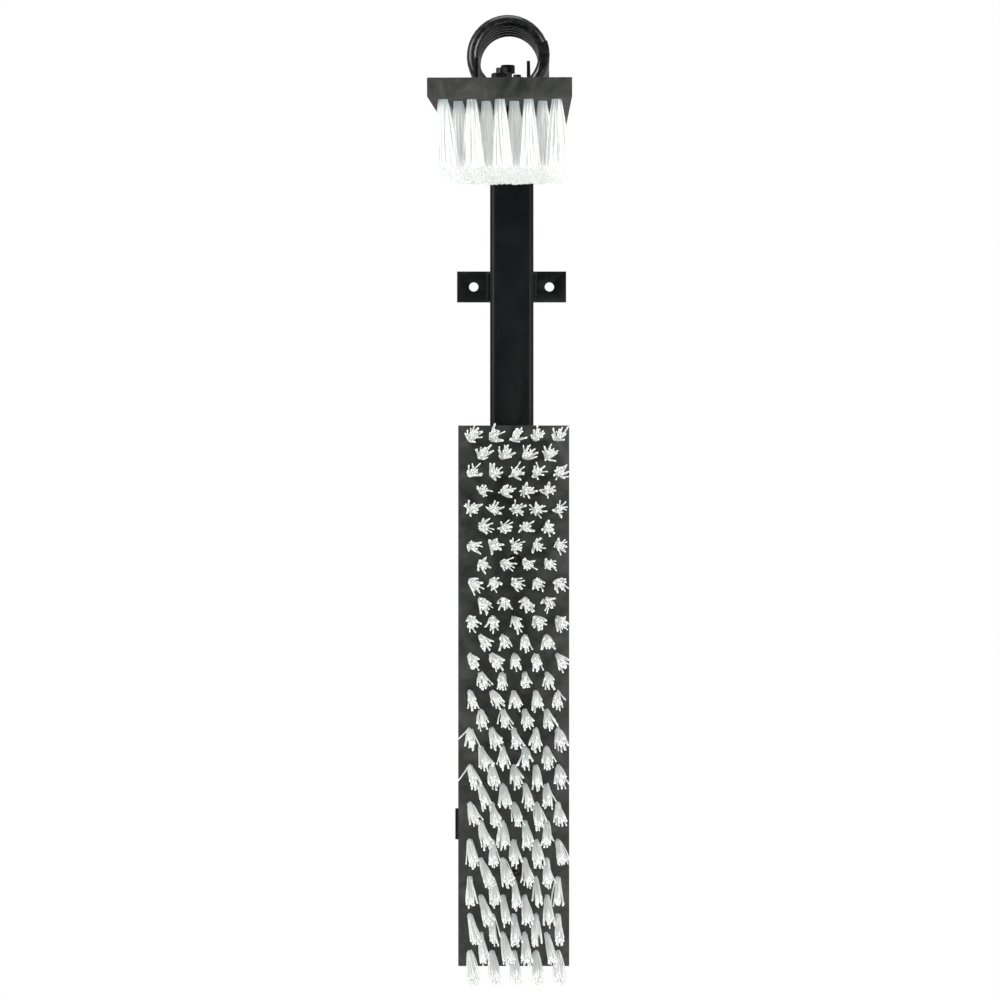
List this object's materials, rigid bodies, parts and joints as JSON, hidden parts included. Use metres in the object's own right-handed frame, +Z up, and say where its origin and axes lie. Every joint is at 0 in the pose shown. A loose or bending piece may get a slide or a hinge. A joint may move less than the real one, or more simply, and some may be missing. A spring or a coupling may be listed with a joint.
{
  "type": "wall-mounted livestock scratching brush",
  "caption": "Wall-mounted scratching brush for cattle: upright brush board on a square post, and a back brush on an arm carried by a heavy coil spring.",
  "frame": {"origin": "centre of the four wall bolt holes, on the wall plane at the back of the two straps", "axes": "+Z up along the post, +Y back into the wall, +X to the viewer's right"},
  "size_m": [0.1368, 0.642, 1.0332],
  "materials": {
    "black_powder_coat": "semi-gloss black powder coat",
    "black_plastic": "matt moulded plastic",
    "spring_enamel": "glossy black dipped enamel",
    "zinc_steel": "zinc plated",
    "black_oxide_steel": "oiled black oxide",
    "grey_board_plastic": "matt grey moulded plastic board",
    "white_bristle": "white nylon bristle"
  },
  "bodies": {
    "root": {"wall_post": "black_powder_coat", "post_top_cap": "black_plastic", "post_bottom_cap": "black_plastic", "upper_wall_strap": "black_powder_coat", "lower_wall_strap": "black_powder_coat", "strap_welds": "black_powder_coat", "head_cheek_left": "black_powder_coat", "head_cheek_right": "black_powder_coat", "head_saddle_plate": "black_powder_coat", "head_welds": "black_powder_coat", "tail_u_bolt": "zinc_steel", "tail_u_bolt_nuts": "zinc_steel", "rear_clamp_bolt": "black_oxide_steel", "rear_clamp_shoe": "black_powder_coat", "rear_clamp_nut": "black_oxide_steel", "rear_clamp_locknut": "black_oxide_steel", "wall_brush_board": "grey_board_plastic", "wall_brush_tufts": "white_bristle", "wall_brush_screws": "black_oxide_steel", "post_rivet_nuts": "zinc_steel"},
    "spring": {"coil_spring": "spring_enamel"},
    "arm": {"arm_channel": "black_powder_coat", "front_coil_seat": "black_powder_coat", "front_clamp_shoe": "black_powder_coat", "front_clamp_bolt": "black_oxide_steel", "front_clamp_nut": "black_oxide_steel", "back_brush_board": "grey_board_plastic", "back_brush_tufts": "white_bristle", "back_brush_screws": "black_oxide_steel", "back_brush_washers": "black_oxide_steel", "back_brush_locknuts": "black_oxide_steel"}
  },
  "joints": [
    {"name": "arm_swing", "type": "hinge", "parent": "root", "child": "spring", "pos_m": [-0.0037, -0.1494, 0.5266], "axis": [0, 0, 1], "range_deg": [-20, 20], "stiffness_Nm_per_rad": 390, "deforming": ["coil_spring"]},
    {"name": "arm_lift", "type": "hinge", "parent": "spring", "child": "arm", "pos_m": [-0.0037, -0.1494, 0.5266], "axis": [-1, 0, 0], "range_deg": [-6, 25], "stiffness_Nm_per_rad": 390, "springref_deg": 0.86, "deforming": ["coil_spring"]}
  ]
}
